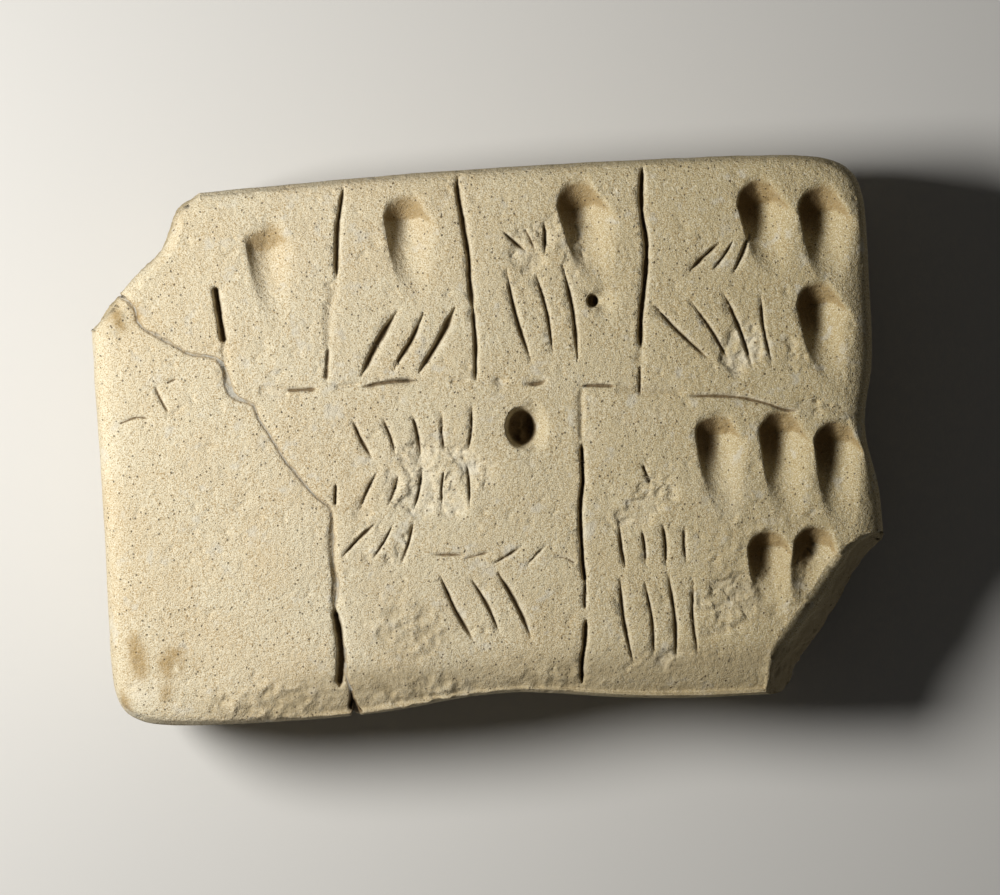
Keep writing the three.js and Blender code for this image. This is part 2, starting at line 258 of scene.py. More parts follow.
@dataclass(frozen=True)
class Dent:
    """Dent of a round stylus, pressed in aslant so that it is deepest at its top end."""

    x: float
    top: float
    length: float
    depth: float
    lean: float
    foot: float = 2.4
    radius: float = 1.95
    left_wall: float = 5.0
    right_wall: float = 1.0
    arch_wall: float = 2.2

    def carve(self, x: np.ndarray, y: np.ndarray, drag: np.ndarray) -> tuple[np.ndarray, ...]:
        """Depth of the dent below the face, and where its end disc and its painted shade lie.

        The foot of the worn disc lies some way below the top. From there a cylinder's lowest
        line rises to the face, and above it the disc's plane does, up to an arch. Beyond most
        of the radius a wall of even slope goes on from the round section and from the arch.
        The left rim is crisp and the right one is soft.

        Args:
            x: Places across the face.
            y: Places up the face.
            drag: Rough relief for the disc, in millimetres.

        Returns:
            The depth, and masks from 0 to 1 of the disc and of the painted shade on the deep
            left-hand side.
        """
        turn = math.radians(self.lean)
        dx, dy = x - self.x, y - self.top
        across = (dx * math.cos(turn) + dy * math.sin(turn)) / self.radius
        down = dx * math.sin(turn) - dy * math.cos(turn)
        held = np.clip(across, -0.95, 0.75)
        section = self.radius * (1.0 - np.sqrt(1.0 - held**2))
        wall = np.where(across < 0, self.left_wall, self.right_wall)
        section = section + wall * self.radius * np.abs(across - held)
        left = 1.0 - (down - self.foot) / (self.length - self.foot)
        channel = self.depth * left - section
        inner = np.clip(across, -0.9, 0.9)
        arch = 1.0 - np.sqrt(1.0 - inner**2) + self.arch_wall * np.abs(across - inner)
        disc = (down - self.radius * arch) * self.depth / self.foot - drag
        rim = 0.35 + 0.75 * ramp(across, -0.4, 0.8)
        depth = soft_max(-soft_max(-channel, -disc, 0.3), 0.0 * x, rim)
        on_disc = ramp(channel - disc, -0.15, 0.25) * ramp(depth, 0.1, 0.5)
        # Painted shade: the left wall and upper part of the dent are darkened where the lamp on the
        # left leaves them in shadow.
        shade = ramp(depth, 0.1, 0.5) * ramp(across, 0.55, -0.35)
        shade = shade * ramp(down, 0.8 * self.length, 0.25 * self.length)
        return depth, on_disc, shade


@dataclass(frozen=True)
class Hole:
    """Upright round hole, steep on its left and with a soft slope on its right."""

    x: float
    y: float
    half_width: float
    half_height: float
    depth: float
    soft_side: float

    def carve(self, x: np.ndarray, y: np.ndarray) -> np.ndarray:
        """Depth: full inside an ellipse, with a wall that is wider on the right.

        Args:
            x: Places across the face.
            y: Places up the face.

        Returns:
            The depth below the face.
        """
        dx, dy = x - self.x, y - self.y
        radius = np.hypot(dx / self.half_width, dy / self.half_height)
        right = np.clip(dx / (self.half_width * np.maximum(radius, 0.01)), 0.0, 1.0)
        shaft = 1.0 - ramp(radius, 0.62, 1.04)
        slope = 0.4 * right**2 * (1.0 - ramp(radius, 0.7, 1.0 + self.soft_side))
        return self.depth * (0.85 * shaft + slope)


class Cut(Enum):
    """How a line on the face looks today."""

    OPEN = "open"
    WORN = "worn"
    FILLED = "filled"


@dataclass(frozen=True)
class Groove:
    """Line that was drawn in the wet clay."""

    path: list[Point]
    width: float
    depth: float
    cut: Cut = Cut.OPEN
    taper: float = 0.12

    def carve(self, x: np.ndarray, y: np.ndarray, wobble: np.ndarray) -> tuple[np.ndarray, ...]:
        """Depth, dirt and painted shade, and painted highlight on the lit rim of the line.

        The section falls from the edge to a narrow flat bottom. Its width shrinks over the
        taper's share of the length at each end. The lower and right-hand rim, which faces the lamp,
        is bevelled and painted pale as a highlight.

        Args:
            x: Places across the face.
            y: Places up the face.
            wobble: Small random shift of each place, in millimetres.

        Returns:
            The depth, the dirt and painted shade in the bottom from 0 to 1, and the painted
            highlight on the lit rim from 0 to 1.
        """
        near, side, passed = along_path(x, y, smooth_path(self.path, 0.4))
        ends = ramp(np.minimum(passed, 1.0 - passed), -0.25 * self.taper, self.taper)
        half = 0.5 * self.width * (0.35 + 0.65 * ends)
        start, end = self.path[0], self.path[-1]
        heading = (end[0] - start[0], end[1] - start[1])
        # The side that faces the lamp gets the bevel and its painted highlight.
        lit_side = 1.0 if heading[1] - 0.35 * heading[0] < 0 else -1.0
        share = (near + wobble * 0.55) / half
        wall = 1.0 - ramp(share, 0.2, 1.08)
        bevel = (side == lit_side) * (1.0 - ramp(share, 0.9, 2.6)) * ends
        # The second mask darkens the line's bottom with dirt and painted shade; the third is a
        # painted highlight on the rim that faces the lamp.
        if self.cut is Cut.WORN:
            depth = self.depth * ends * (1.0 - ramp(share, 0.0, 1.3))
            return depth, 0.35 * wall * ends, 0.3 * bevel
        if self.cut is Cut.FILLED:
            depth = self.depth * ends * (1.0 - ramp(share, 0.8, 1.1))
            margin = ramp(share, 0.5, 0.9) * (1.0 - ramp(share, 0.9, 1.3))
            return depth, 0.3 * margin, np.zeros_like(depth)
        depth = self.depth * (0.35 + 0.65 * ends) * wall + 0.05 * bevel
        return depth, wall * (0.4 + 0.6 * ends), bevel


@dataclass(frozen=True)
class StrokeRow:
    """Row of short strokes that stand side by side, each turned a little from the last."""

    start: Point
    step: Point
    count: int
    length: float
    lean: float
    turn: float
    width: float
    cut: Cut = Cut.OPEN

    SHORTER = 0.86
    THINNER = 0.8
    BOW = 0.03
    DEPTH_SHARE = 1.15

    def strokes(self) -> list[Groove]:
        """The row's strokes, every second one shorter and thinner.

        Returns:
            One groove per stroke.
        """
        made = []
        for k in range(self.count):
            angle = math.radians(self.lean + self.turn * (k - (self.count - 1) / 2))
            half = 0.5 * self.length * (self.SHORTER if k % 2 else 1.0)
            width = self.width * (self.THINNER if k % 2 else 1.0)
            x, y = self.start[0] + k * self.step[0], self.start[1] + k * self.step[1]
            dx, dy = math.sin(angle) * half, math.cos(angle) * half
            bow = self.BOW * self.length * (1 if k % 3 else -1)
            path = [(x + dx, y + dy), (x + bow, y), (x - dx, y - dy)]
            made.append(Groove(path, width, self.DEPTH_SHARE * width, self.cut, taper=0.3))
        return made


@dataclass(frozen=True)
class CornerBreak:
    """Broken corner: the break's edge on the face, and its flare below the face."""

    edge: list[Point]
    flare: float
    flare_depth: float
    roughness: float
    round: float

    def limit(self, angle: np.ndarray, height: np.ndarray, face: float,
              grain: Grain) -> np.ndarray:
        """How far from the middle the clay reaches at an angle and a height.

        It is the edge's distance plus flare * (1 - exp(-depth / flare_depth)) and a rough
        grain of its own, and endless outside the break. Near the face it draws in by half of
        round, except at the break's ends, so that the edge is worn.

        Args:
            angle: Angle round the middle, in radians.
            height: Height above the floor.
            face: Height of the face.
            grain: Random relief.

        Returns:
            The distance, or infinity.
        """
        path = smooth_path(self.edge, 0.6)
        bearings = np.arctan2(path[:, 1], path[:, 0])
        reaches = np.hypot(path[:, 0], path[:, 1])
        order = np.argsort(bearings)
        reach = np.interp(angle, bearings[order], reaches[order], left=np.inf, right=np.inf)
        depth = np.maximum(face - height, 0.0)
        share = (angle - bearings.min()) / (bearings.max() - bearings.min())
        inside = ramp(np.minimum(share, 1.0 - share), 0.05, 0.3)
        worn = 0.5 * self.round * (1.0 - ramp(face + 0.5 - height, 0.0, self.round)) ** 2 * inside
        places = np.column_stack([reach_or(reach, 40.0) * angle, height, 0.0 * angle])
        chips = BREAK_LUMPS.over(places, grain) + np.abs(BREAK_RIDGES.over(places, grain))
        rough = self.roughness * chips * (0.35 + 0.65 * ramp(depth, 0.0, 3.0))
        return reach + self.flare * (1.0 - np.exp(-depth / self.flare_depth)) + rough - worn


def reach_or(reach: np.ndarray, other: float) -> np.ndarray:
    """The distances, with another number where they are endless."""
    return np.where(np.isfinite(reach), reach, other)


@dataclass(frozen=True)
class Crack:
    """The mended break, a wall right through the clay that shows as a line all round."""

    path: list[Point]
    lean: float = 0.04
    half_width: float = 0.1
    gape: float = 0.4
    patch: float = 0.28

    FAR = 2.0

    def edge_distance(self, places: np.ndarray, grain: Grain, face: float) -> np.ndarray:
        """Distance from the crack's own edge, negative inside the joint.

        The line wanders a little with height. Its half width grows to the bottom edge of the
        face, where the joint gapes, at a patch of filler, and at random chips.

        Args:
            places: Points in space.
            grain: Random relief.
            face: Height of the face.

        Returns:
            Distances in millimetres.
        """
        result = np.full(len(places), self.FAR)
        close = places[:, 0] < max(x for x, _ in self.path) + self.FAR
        places = places[close]
        below = face - places[:, 2]
        x = places[:, 0] + self.lean * below + CRACK_BEND_X.over(places, grain)
        y = places[:, 1] + CRACK_BEND_Y.over(places, grain)
        near, _, _ = along_path(x, y, smooth_path(self.path, 0.8))
        chips = 0.22 * np.maximum(CRACK_CHIPS.over(places, grain) - 0.1, 0.0)
        gape = self.gape * ramp(-places[:, 1], 24.0, 27.0) * ramp(places[:, 2], 8.0, 16.0)
        patched = self.patch * bell(places[:, 0] + 25.4, 1.3) * bell(places[:, 1] - 6.9, 2.2)
        result[close] = near - self.half_width - chips - gape - patched
        return result


@dataclass(frozen=True)
class Zone:
    """Oval area of the face with soft edges."""

    x: float
    y: float
    half_width: float
    half_height: float
    turn: float = 0.0
    strength: float = 1.0

    def mask(self, x: np.ndarray, y: np.ndarray) -> np.ndarray:
        """1 in the middle, 0 beyond the oval.

        Args:
            x: Places across the face.
            y: Places up the face.

        Returns:
            The mask, scaled by the zone's strength.
        """
        angle = math.radians(self.turn)
        dx, dy = x - self.x, y - self.y
        across = dx * math.cos(angle) + dy * math.sin(angle)
        up = dy * math.cos(angle) - dx * math.sin(angle)
        radius = np.hypot(across / self.half_width, up / self.half_height)
        return self.strength * (1.0 - ramp(radius, 0.45, 1.0))


DENTS = [
    Dent(-21.2, 22.8, 9.2, 1.4, 3, 2.8),
    Dent(-7.1, 24.9, 9.6, 2.3, 3, 2.6),
    Dent(10.1, 25.3, 10.2, 2.8, 10, 2.8),
    Dent(28.2, 24.5, 9.2, 2.8, 8, 2.6),
    Dent(34.5, 23.6, 9.7, 2.7, 4, 2.8),
    Dent(33.6, 13.8, 9.8, 2.7, 7, 2.2),
    Dent(22.8, 1.2, 9.8, 2.0, 3, 2.2),
    Dent(29.3, 1.2, 10.4, 2.5, 2, 2.2),
    Dent(34.8, -0.1, 10.4, 2.6, 1, 2.2),
    Dent(27.5, -10.7, 8.6, 2.2, 0, 1.7),
    Dent(32.6, -10.6, 8.4, 2.2, -13, 1.7),
]

HOLES = [
    Hole(3.55, 0.9, 1.65, 2.15, 3.6, 0.8),
    Hole(11.4, 13.2, 0.65, 0.75, 1.8, 3.4),
]

# Ruled lines round the cases, from left to right and then across the middle.
RULINGS = [
    Groove([(-26.3, 16.7), (-26.05, 14), (-25.7, 11.1)], 0.85, 1.4, taper=0.05),
    Groove([(-25.7, 11), (-25.5, 7)], 0.7, 0.25, Cut.FILLED),
    Groove([(-12.9, 25.9), (-13.7, 21.9), (-14, 18.3), (-14.05, 16.9)], 0.62, 0.75),
    Groove([(-14.1, 17), (-14.4, 15.6), (-15.1, 13.2), (-15.3, 10)], 1.1, 0.22, Cut.WORN),
    Groove([(-15.3, 10), (-15.5, 8.5), (-15.7, 6.7)], 0.5, 0.4),
    Groove([(-1.4, 26.5), (-1.5, 25), (-1.1, 21.5), (-0.75, 18), (-0.8, 16), (-0.6, 13)], 0.7, 0.8),
    Groove([(-0.6, 13), (-0.55, 9.4), (-0.75, 5.9)], 0.55, 0.75),
    Groove([(17.1, 26.2), (16.8, 22.3), (17.1, 18.5), (16.7, 14.8), (16.1, 11), (15.95, 8.2)],
           0.66, 1.1, taper=0.04),
    Groove([(15.95, 8.2), (15.8, 6.6)], 0.9, 0.2, Cut.WORN),
    Groove([(15.75, 6.5), (15.6, 3.5)], 0.35, 0.35),
    Groove([(-15.3, -3.7), (-15.5, -5.9)], 0.5, 0.6),
    Groove([(-15.8, -6.8), (-16, -11), (-15.85, -13.5), (-16.1, -16.4)], 0.75, 0.3, Cut.FILLED),
    Groove([(-16.1, -16.4), (-15.8, -19), (-15.75, -21.4), (-16.05, -23.9)], 0.95, 1.3, taper=0.06),
    Groove([(10, 4.6), (9.7, 3.5), (9.6, 1.2), (9.5, -1)], 0.7, 0.3, Cut.WORN),
    Groove([(9.5, -1.1), (9.4, -4.8), (9.0, -7.5), (8.95, -12.5), (9.1, -15)], 0.58, 1.1,
           taper=0.04),
    Groove([(9.1, -15), (9, -16), (8.9, -17.6)], 0.35, 0.5),
    Groove([(8.95, -18.7), (8.7, -21), (8.3, -23), (8.2, -25)], 0.6, 1.0),
    Groove([(-22.5, 6.2), (-21, 5.9), (-19.5, 5.7)], 1.0, 0.2, Cut.FILLED),
    Groove([(-19.7, 5.9), (-16.8, 5.9)], 0.5, 0.45),
    Groove([(-14.9, 6), (-12.4, 6.2)], 0.5, 0.3, Cut.WORN),
    Groove([(-12, 5.85), (-9.5, 6.2), (-6.6, 6.2)], 0.52, 0.6, taper=0.2),
    Groove([(-3.3, 5.9), (-1.4, 5.9)], 0.4, 0.25, Cut.WORN),
    Groove([(0.9, 5.6), (2.7, 5.6)], 0.75, 0.3, Cut.FILLED, taper=0.4),
    Groove([(6.4, 5.5), (5.4, 5.2), (4.1, 5.2)], 0.6, 0.45, taper=0.4),
    Groove([(9.9, 4.7), (11.2, 4.7), (13.1, 4.5)], 0.45, 0.4),
    Groove([(13, 4.4), (16.5, 3.9), (20.2, 3.4)], 1.3, 0.25, Cut.WORN),
    Groove([(20.6, 3.1), (24, 2.9), (26, 2.6), (28.3, 1.9), (30, 1.2), (31.5, 1)], 0.42, 0.4),
    Groove([(33, 1.1), (35, 0.9), (38, 0.1)], 0.7, 0.3, Cut.WORN),
]

# Rows of strokes in the cases, from the upper left to the lower right.
STROKE_ROWS = [
    StrokeRow((-10.2, 10.1), (2.9, 0), 3, 7.4, 32, 0, 0.8),
    StrokeRow((3.9, 19.6), (1.5, 0.1), 3, 3.2, -22, 24, 0.45),
    StrokeRow((3.9, 12.2), (2.6, 0), 3, 9.4, -9, 3, 0.55),
    StrokeRow((22.9, 17), (1.8, 0), 3, 4, 38, -12, 0.5),
    StrokeRow((19.9, 9.8), (2.9, -0.1), 4, 8.2, -24, 12, 0.5),
    StrokeRow((-12.4, 0.6), (2.7, 0.1), 5, 4.4, -8, 8, 0.45),
    StrokeRow((-12.1, -4.6), (2.5, 0), 5, 4.2, 14, -7, 0.4),
    StrokeRow((-13.3, -9.4), (2.4, -0.3), 3, 4.4, 34, -14, 0.4),
    StrokeRow((-4.4, -11.4), (2.9, -0.2), 4, 3.2, 70, -16, 0.35),
    StrokeRow((-3.9, -16.8), (2.9, 0), 3, 7.2, -24, 0, 0.6),
    StrokeRow((13, -11.6), (2.1, 0), 4, 4.2, -2, 2, 0.45),
    StrokeRow((13, -19), (2.3, 0), 4, 8.6, -3, 2, 0.5),
]

# Small marks that came later.
SCRATCHES = [
    Groove([(-32.9, 7.1), (-32.3, 5.6), (-31.7, 4.4)], 0.35, 0.3),
    Groove([(-36.7, 3.5), (-34.9, 4.05), (-33.7, 3.9)], 0.3, 0.2),
    Groove([(-31.7, 7.3), (-30.7, 7.7)], 0.3, 0.25),
    Groove([(6, -12.2), (7.2, -12.4), (8.2, -13)], 0.25, 0.15),
    Groove([(15.5, -3.5), (16.1, -5.4)], 0.5, 0.5),
    Groove([(19.8, -21), (22, -20.8), (25.3, -19.6), (26.9, -19.4)], 0.9, 0.16, Cut.WORN),
    Groove([(19.5, -18.4), (21.8, -18.2), (24.6, -16.9)], 0.8, 0.14, Cut.WORN),
]

# Areas of the face that flaked, that are granular, and that are stained brown or rubbed pale.
FLAKED = [
    Zone(-5.6, -3.6, 7, 5.2, -12),
    Zone(-11, -8.6, 4, 4.5, 20, 0.8),
    Zone(26, 7.4, 2.6, 3.8, -35, 0.9),
    Zone(9, 19, 2.6, 4.2, 25, 0.9),
    Zone(5.4, 18.6, 3, 3, 0, 0.7),
    Zone(15, -7.2, 5, 3.2, 10, 0.8),
    Zone(23.5, -17.5, 4.5, 3.5, 25, 0.9),
    Zone(32, -13.5, 3.5, 3.5, 0, 0.5),
    Zone(31.6, 6.9, 1.6, 3, 0, 0.6),
    Zone(-14.9, 15.2, 1.2, 2, 0, 0.6),
    Zone(17.6, -23.2, 2.4, 1.6, 0, 0.6),
    Zone(33.5, 1.2, 3, 1.2, -8, 0.7),
]

GRANULAR = [
    Zone(-8.5, -19, 5.5, 4.5, 0, 0.8),
    Zone(-23, -25.2, 10, 2.6, 0, 1.0),
    Zone(-7, -25.3, 9, 2.4, 0, 1.0),
    Zone(6, -24.6, 8, 1.8, 0, 0.7),
    Zone(27, -14, 8, 9, 30, 0.5),
    Zone(-36.5, 14, 2, 2.5, 0, 0.7),
]

BROWN = [
    Zone(-36, -19.8, 1.5, 3.2, 10, 0.9),
    Zone(-32.2, -20.8, 2.9, 2, 0, 0.8),
    Zone(-33.5, -24, 0.8, 1.6, -20, 0.6),
    Zone(-35.4, 14.4, 2.2, 2, 30, 0.7),
    Zone(-37.6, -25, 1, 2, 0, 0.6),
]

PALE = [
    Zone(-21, 5.75, 1.7, 0.75, -8, 1.2),
    Zone(-35.8, -23.8, 2.2, 2.6, 0, 0.9),
    Zone(-5.6, -3.6, 7.5, 6, -12, 0.55),
    Zone(7.5, 5.5, 2.5, 1.4, 0, 0.8),
    Zone(10.6, 1, 1.6, 4, 0, 0.45),
    Zone(26, 7.4, 2.2, 3.5, -35, 0.7),
    Zone(15.5, 1.5, 3, 2.2, 0, 0.35),
    Zone(17.2, -23.2, 2.4, 1.4, 0, 0.8),
    Zone(10, 17.6, 2.4, 3, 0, 0.5),
    Zone(23, -6, 4, 5, 0, 0.35),
    Zone(32.6, -19.8, 0.8, 0.7, 0, 0.8),
]


# ---- The tablet's form ----


@dataclass
class Section:
    """Half of a section: reach^p + height^q = 1, walked at an even pace from its middle.

    A flat spot comes first where inner is above 0, and the curve spans the rest of the reach.
    """

    p: float
    q: float
    inner: float
    tall: float
    wide: float = 34.0
    samples: int = 1500

    def __post_init__(self) -> None:
        """Tabulates the curve: by its reach as far as its corner, and by its height beyond."""
        flat = np.linspace(0.0, 0.5 ** (1.0 / self.p), self.samples)
        steep = np.linspace(0.5 ** (1.0 / self.q), 0.0, self.samples)[1:]
        reach = np.concatenate([flat, (1.0 - steep**self.q) ** (1.0 / self.p)])
        height = np.concatenate([(1.0 - flat**self.p) ** (1.0 / self.q), steep])
        reach = np.concatenate([[0.0], self.inner + (1.0 - self.inner) * reach])
        height = np.concatenate([[1.0], height])
        steps = np.hypot(self.wide * np.diff(reach), self.tall * np.diff(height))
        walk = np.concatenate([[0.0], np.cumsum(steps)])
        self.walks, self.reaches, self.heights = walk / walk[-1], reach, height

    def at(self, walk: np.ndarray) -> tuple[np.ndarray, np.ndarray]:
        """Reach and height at a share of the walk."""
        reach = np.interp(walk, self.walks, self.reaches)
        return reach, np.interp(walk, self.walks, self.heights)


@dataclass
class TabletForm:
    """The lump of clay as a pillow: a face patch and a back patch that share one rim.

    Each patch is walked from its middle to the rim along rays, so that one number says how far
    round the section a place is: 0 in the middle of the face, 1 at the rim and 2 in the middle
    of the back.
    """

    left: float = 39.1
    right: float = 39.4
    top: float = 27.2
    bottom: float = 27.3
    thickness: float = 21.0
    rim_height: float = 11.5
    face_sag: float = 1.1
    rim_squareness: float = 14.0
    middle_squareness: float = 3.0
    face_section: Section = field(default_factory=lambda: Section(36.0, 9.0, 0.0, 9.5))
    back_section: Section = field(default_factory=lambda: Section(3.0, 2.3, 0.3, 11.5))
    edge_walk: tuple[float, float] = (0.8, 1.2)
    dip_start: float = 36.4
    dip_slope: float = 0.31
    dip_round: float = 1.5
    dip_top: tuple[float, float] = (18.0, 12.0)
    breaks: list[CornerBreak] = field(default_factory=lambda: [
        CornerBreak(
            [(-41, 10.6), (-38.4, 13), (-36.6, 15.1), (-34.3, 17.8), (-31.4, 20.2),
             (-30.3, 22.2), (-29.4, 24.5), (-27.4, 25.7), (-25, 27.9)],
            0.8, 2.0, 0.12, 1.6),
        CornerBreak(
            [(41.5, -10.6), (36.9, -11.9), (34.4, -13.9), (31.4, -18.2), (28.2, -22.1),
             (27, -25), (25.6, -29.5)],
            3.2, 5.0, 0.4, 0.8),
    ])

    def dip(self, x: np.ndarray, y: np.ndarray) -> np.ndarray:
        """How far the face slopes down along the lower part of its right side."""
        beyond = soft_max(x - self.dip_start, 0.0 * x, self.dip_round)
        return self.dip_slope * beyond * ramp(y, *self.dip_top)

    def half_width(self, across: np.ndarray, y: np.ndarray) -> np.ndarray:
        """Half width at a height on the face; the right side is a little waisted."""
        waisted = self.right - 1.25 * bell(y + 0.8, 5.0)
        return np.where(across < 0, self.left - 0.2 * bell(y + 5.0, 12.0), waisted)

    def half_height(self, up: np.ndarray, x: np.ndarray) -> np.ndarray:
        """Half height at a place across; the bottom edge is hollowed in its middle."""
        arched = self.top - 0.0006 * (x - 10.0) ** 2
        return np.where(up < 0, self.bottom - 1.6 * bell(x - 0.5, 11.0), arched)

    def outline(self, du: np.ndarray, dv: np.ndarray,
                reach: np.ndarray) -> tuple[np.ndarray, np.ndarray]:
        """Rounded heading of a ray: on a square of exponent 3 in the middle, 14 at the rim.

        Args:
            du: Heading across.
            dv: Heading upwards.
            reach: How far out from the middle, from 0 to 1.

        Returns:
            The heading across and upwards, where |across|^n + |upwards|^n is 1.
        """
        square = self.middle_squareness
        square = square + (self.rim_squareness - square) * reach**3
        rounding = (np.abs(du) ** square + np.abs(dv) ** square) ** (-1.0 / square)
        return du * rounding, dv * rounding

    def whole(self, du: np.ndarray, dv: np.ndarray, walk: np.ndarray) -> np.ndarray:
        """Places on the skin before anything broke.

        Args:
            du: Heading of the ray across, where the larger heading is 1 or -1.
            dv: Heading of the ray upwards.
            walk: How far round the section, from 0 to 2.

        Returns:
            Points in space.
        """
        on_face = walk <= 1.0
        reach, height = self.face_section.at(np.minimum(walk, 1.0))
        back_reach, back_height = self.back_section.at(np.minimum(2.0 - walk, 1.0))
        reach = np.where(on_face, reach, back_reach)
        across, up = self.outline(du, dv, reach)
        sag = 0.5 * self.face_sag * reach**2 * (across**2 + up**2)
        x = reach * across * self.half_width(across, self.top * up)
        y = reach * up * self.half_height(up, self.right * across)
        rise = self.thickness - self.rim_height - sag - self.dip(x, y)
        face_height = self.rim_height + rise * height
        height = np.where(on_face, face_height, self.rim_height * (1.0 - back_height))
        return np.stack([x, y, height], axis=-1)

    def face_height(self, x: np.ndarray, y: np.ndarray) -> np.ndarray:
        """Height of the plain face, away from its rim."""
        sag = 0.5 * self.face_sag * ((x / self.right) ** 2 + (y / self.top) ** 2)
        return self.thickness - sag - self.dip(x, y)

    def limit(self, places: np.ndarray, grain: Grain) -> np.ndarray:
        """Reach of the clay at each place's bearing and height, after both breaks."""
        angle = np.arctan2(places[:, 1], places[:, 0])
        face = self.thickness - self.face_sag
        reaches = [b.limit(angle, places[:, 2], face, grain) for b in self.breaks]
        return np.minimum.reduce(reaches)

    def break_spans(self, grain: Grain) -> tuple[np.ndarray, np.ndarray, np.ndarray]:
        """Where each ray meets and leaves a broken face.

        Headings are numbered round the patch's border from 0 to 8. Away from a break the span
        eases back to the usual share of the walk, so that the mesh stays even.

        Returns:
            The headings, the walk at the broken face's upper edge, and at its lower edge.
        """
        headings = np.linspace(0.0, 8.0, 1600, endpoint=False)
        du, dv = self.heading_vector(headings)
        walks = np.linspace(0.3, 1.9, 321)
        grid_u, grid_w = np.meshgrid(du, walks, indexing="ij")
        grid_v = np.repeat(dv[:, None], len(walks), axis=1)
        places = self.whole(grid_u.ravel(), grid_v.ravel(), grid_w.ravel())
        excess = np.hypot(places[:, 0], places[:, 1]) - self.limit(places, grain)
        excess = np.where(np.isfinite(excess), excess, -1e3).reshape(grid_u.shape)
        hit = np.flatnonzero((excess > 0).any(axis=1))
        excess = excess[hit]
        rows = np.arange(len(hit))
        first = np.maximum((excess > 0).argmax(axis=1), 1)
        last = np.minimum(len(walks) - 1 - (excess[:, ::-1] > 0).argmax(axis=1), len(walks) - 2)
        step = walks[1] - walks[0]
        rise = excess[rows, first] - excess[rows, first - 1]
        fall = excess[rows, last] - excess[rows, last + 1]
        upper = walks[first] - step * excess[rows, first] / rise
        lower = walks[last] + step * excess[rows, last] / fall
        apart = np.abs(headings[:, None] - headings[hit][None, :])
        apart = np.minimum(apart, 8.0 - apart)
        nearest = apart.argmin(axis=1)
        ease = ramp(apart.min(axis=1), 0.0, 0.35)
        upper = upper[nearest] * (1.0 - ease) + self.edge_walk[0] * ease
        lower = lower[nearest] * (1.0 - ease) + self.edge_walk[1] * ease
        return headings, upper, lower

    @staticmethod
    def heading_vector(heading: np.ndarray) -> tuple[np.ndarray, np.ndarray]:
        """Point on the border of the square from -1 to 1, numbered 0 to 8 from its lower right
        corner, up the right side and round."""
        du = np.clip(np.abs((heading - 1.0) % 8.0 - 4.0) - 2.0, -1.0, 1.0)
        dv = np.clip(2.0 - np.abs((heading - 3.0 + 4.0) % 8.0 - 4.0), -1.0, 1.0)
        return du, dv

    @staticmethod
    def heading_of(du: np.ndarray, dv: np.ndarray) -> np.ndarray:
        """Number from 0 to 8 of a point on the border of the square."""
        sides = [du >= 1.0 - 1e-9, dv >= 1.0 - 1e-9, du <= -1.0 + 1e-9]
        numbers = [1.0 + dv, 3.0 - du, 5.0 - dv]
        return np.select(sides, numbers, 7.0 + du)

    def skin(self, du: np.ndarray, dv: np.ndarray, walk: np.ndarray,
             grain: Grain) -> tuple[np.ndarray, np.ndarray]:
        """Places on the broken skin.

        Args:
            du: Heading of the ray across.
            dv: Heading of the ray upwards.
            walk: How far round the section, from 0 to 2.
            grain: Random relief.

        Returns:
            Points in space, and a mask that rises to 1 on broken faces.
        """
        headings, *spans = self.break_spans(grain)
        heading = self.heading_of(du, dv)
        upper, lower = (np.interp(heading, headings, span, period=8.0) for span in spans)
        start, end = self.edge_walk
        passed = (walk - start) / (end - start)
        skip = np.maximum(upper, start)
        moved = np.where(passed < 1e-6, upper * walk / start, skip + (lower - skip) * passed)
        beyond = 2.0 - (2.0 - lower) * (2.0 - walk) / (2.0 - end)
        places = self.whole(du, dv, np.where(passed > 1.0, beyond, moved))
        reach = self.limit(places, grain)
        radius = np.maximum(np.hypot(places[:, 0], places[:, 1]), 1e-6)
        cut = radius > reach
        places[:, :2] *= np.where(cut, reach_or(reach, 1.0) / radius, 1.0)[:, None]
        cut_away = np.where(cut, radius - reach_or(reach, 0.0), 0.0)
        fade = ramp(passed, 0.0, 0.15) * ramp(passed, 1.0, 0.85)
        return places, fade * ramp(cut_away, 0.0, 0.8)


@dataclass
class PillowGrid:
    """Two square patches of cells that share their border, as one closed mesh."""

    cells_u: int
    cells_v: int

    def rays(self) -> tuple[np.ndarray, np.ndarray, np.ndarray]:
        """Heading and walk of each vertex: the face patch first, then the back's inside.

        Returns:
            Headings across and upwards, and walks from 0 to 2.
        """
        u, v = np.meshgrid(
            np.linspace(-1.0, 1.0, self.cells_u + 1),
            np.linspace(-1.0, 1.0, self.cells_v + 1),
            indexing="ij",
        )
        ray = np.maximum(np.abs(u), np.abs(v))
        safe = np.maximum(ray, 1e-9)
        du, dv = u / safe, v / safe
        du = np.where(ray < 1e-9, 1.0, du)
        inside = (slice(1, -1), slice(1, -1))
        join = np.concatenate
        return (
            join([du.ravel(), du[inside].ravel()]),
            join([dv.ravel(), dv[inside].ravel()]),
            join([ray.ravel(), 2.0 - ray[inside].ravel()]),
        )

    def quads(self) -> np.ndarray:
        """Corners of each cell, facing outwards.

        Returns:
            An array of four vertex numbers per cell.
        """
        shape = (self.cells_u + 1, self.cells_v + 1)
        face = np.arange(shape[0] * shape[1]).reshape(shape)
        back = face.copy()
        inner = (shape[0] - 2) * (shape[1] - 2)
        back[1:-1, 1:-1] = face.size + np.arange(inner).reshape(shape[0] - 2, -1)
        corners = []
        for patch, order in ((face, (0, 1, 2, 3)), (back, (3, 2, 1, 0))):
            ring = [patch[:-1, :-1], patch[1:, :-1], patch[1:, 1:], patch[:-1, 1:]]
            corners.append(np.stack([ring[k] for k in order], axis=-1).reshape(-1, 4))
        return np.concatenate(corners)


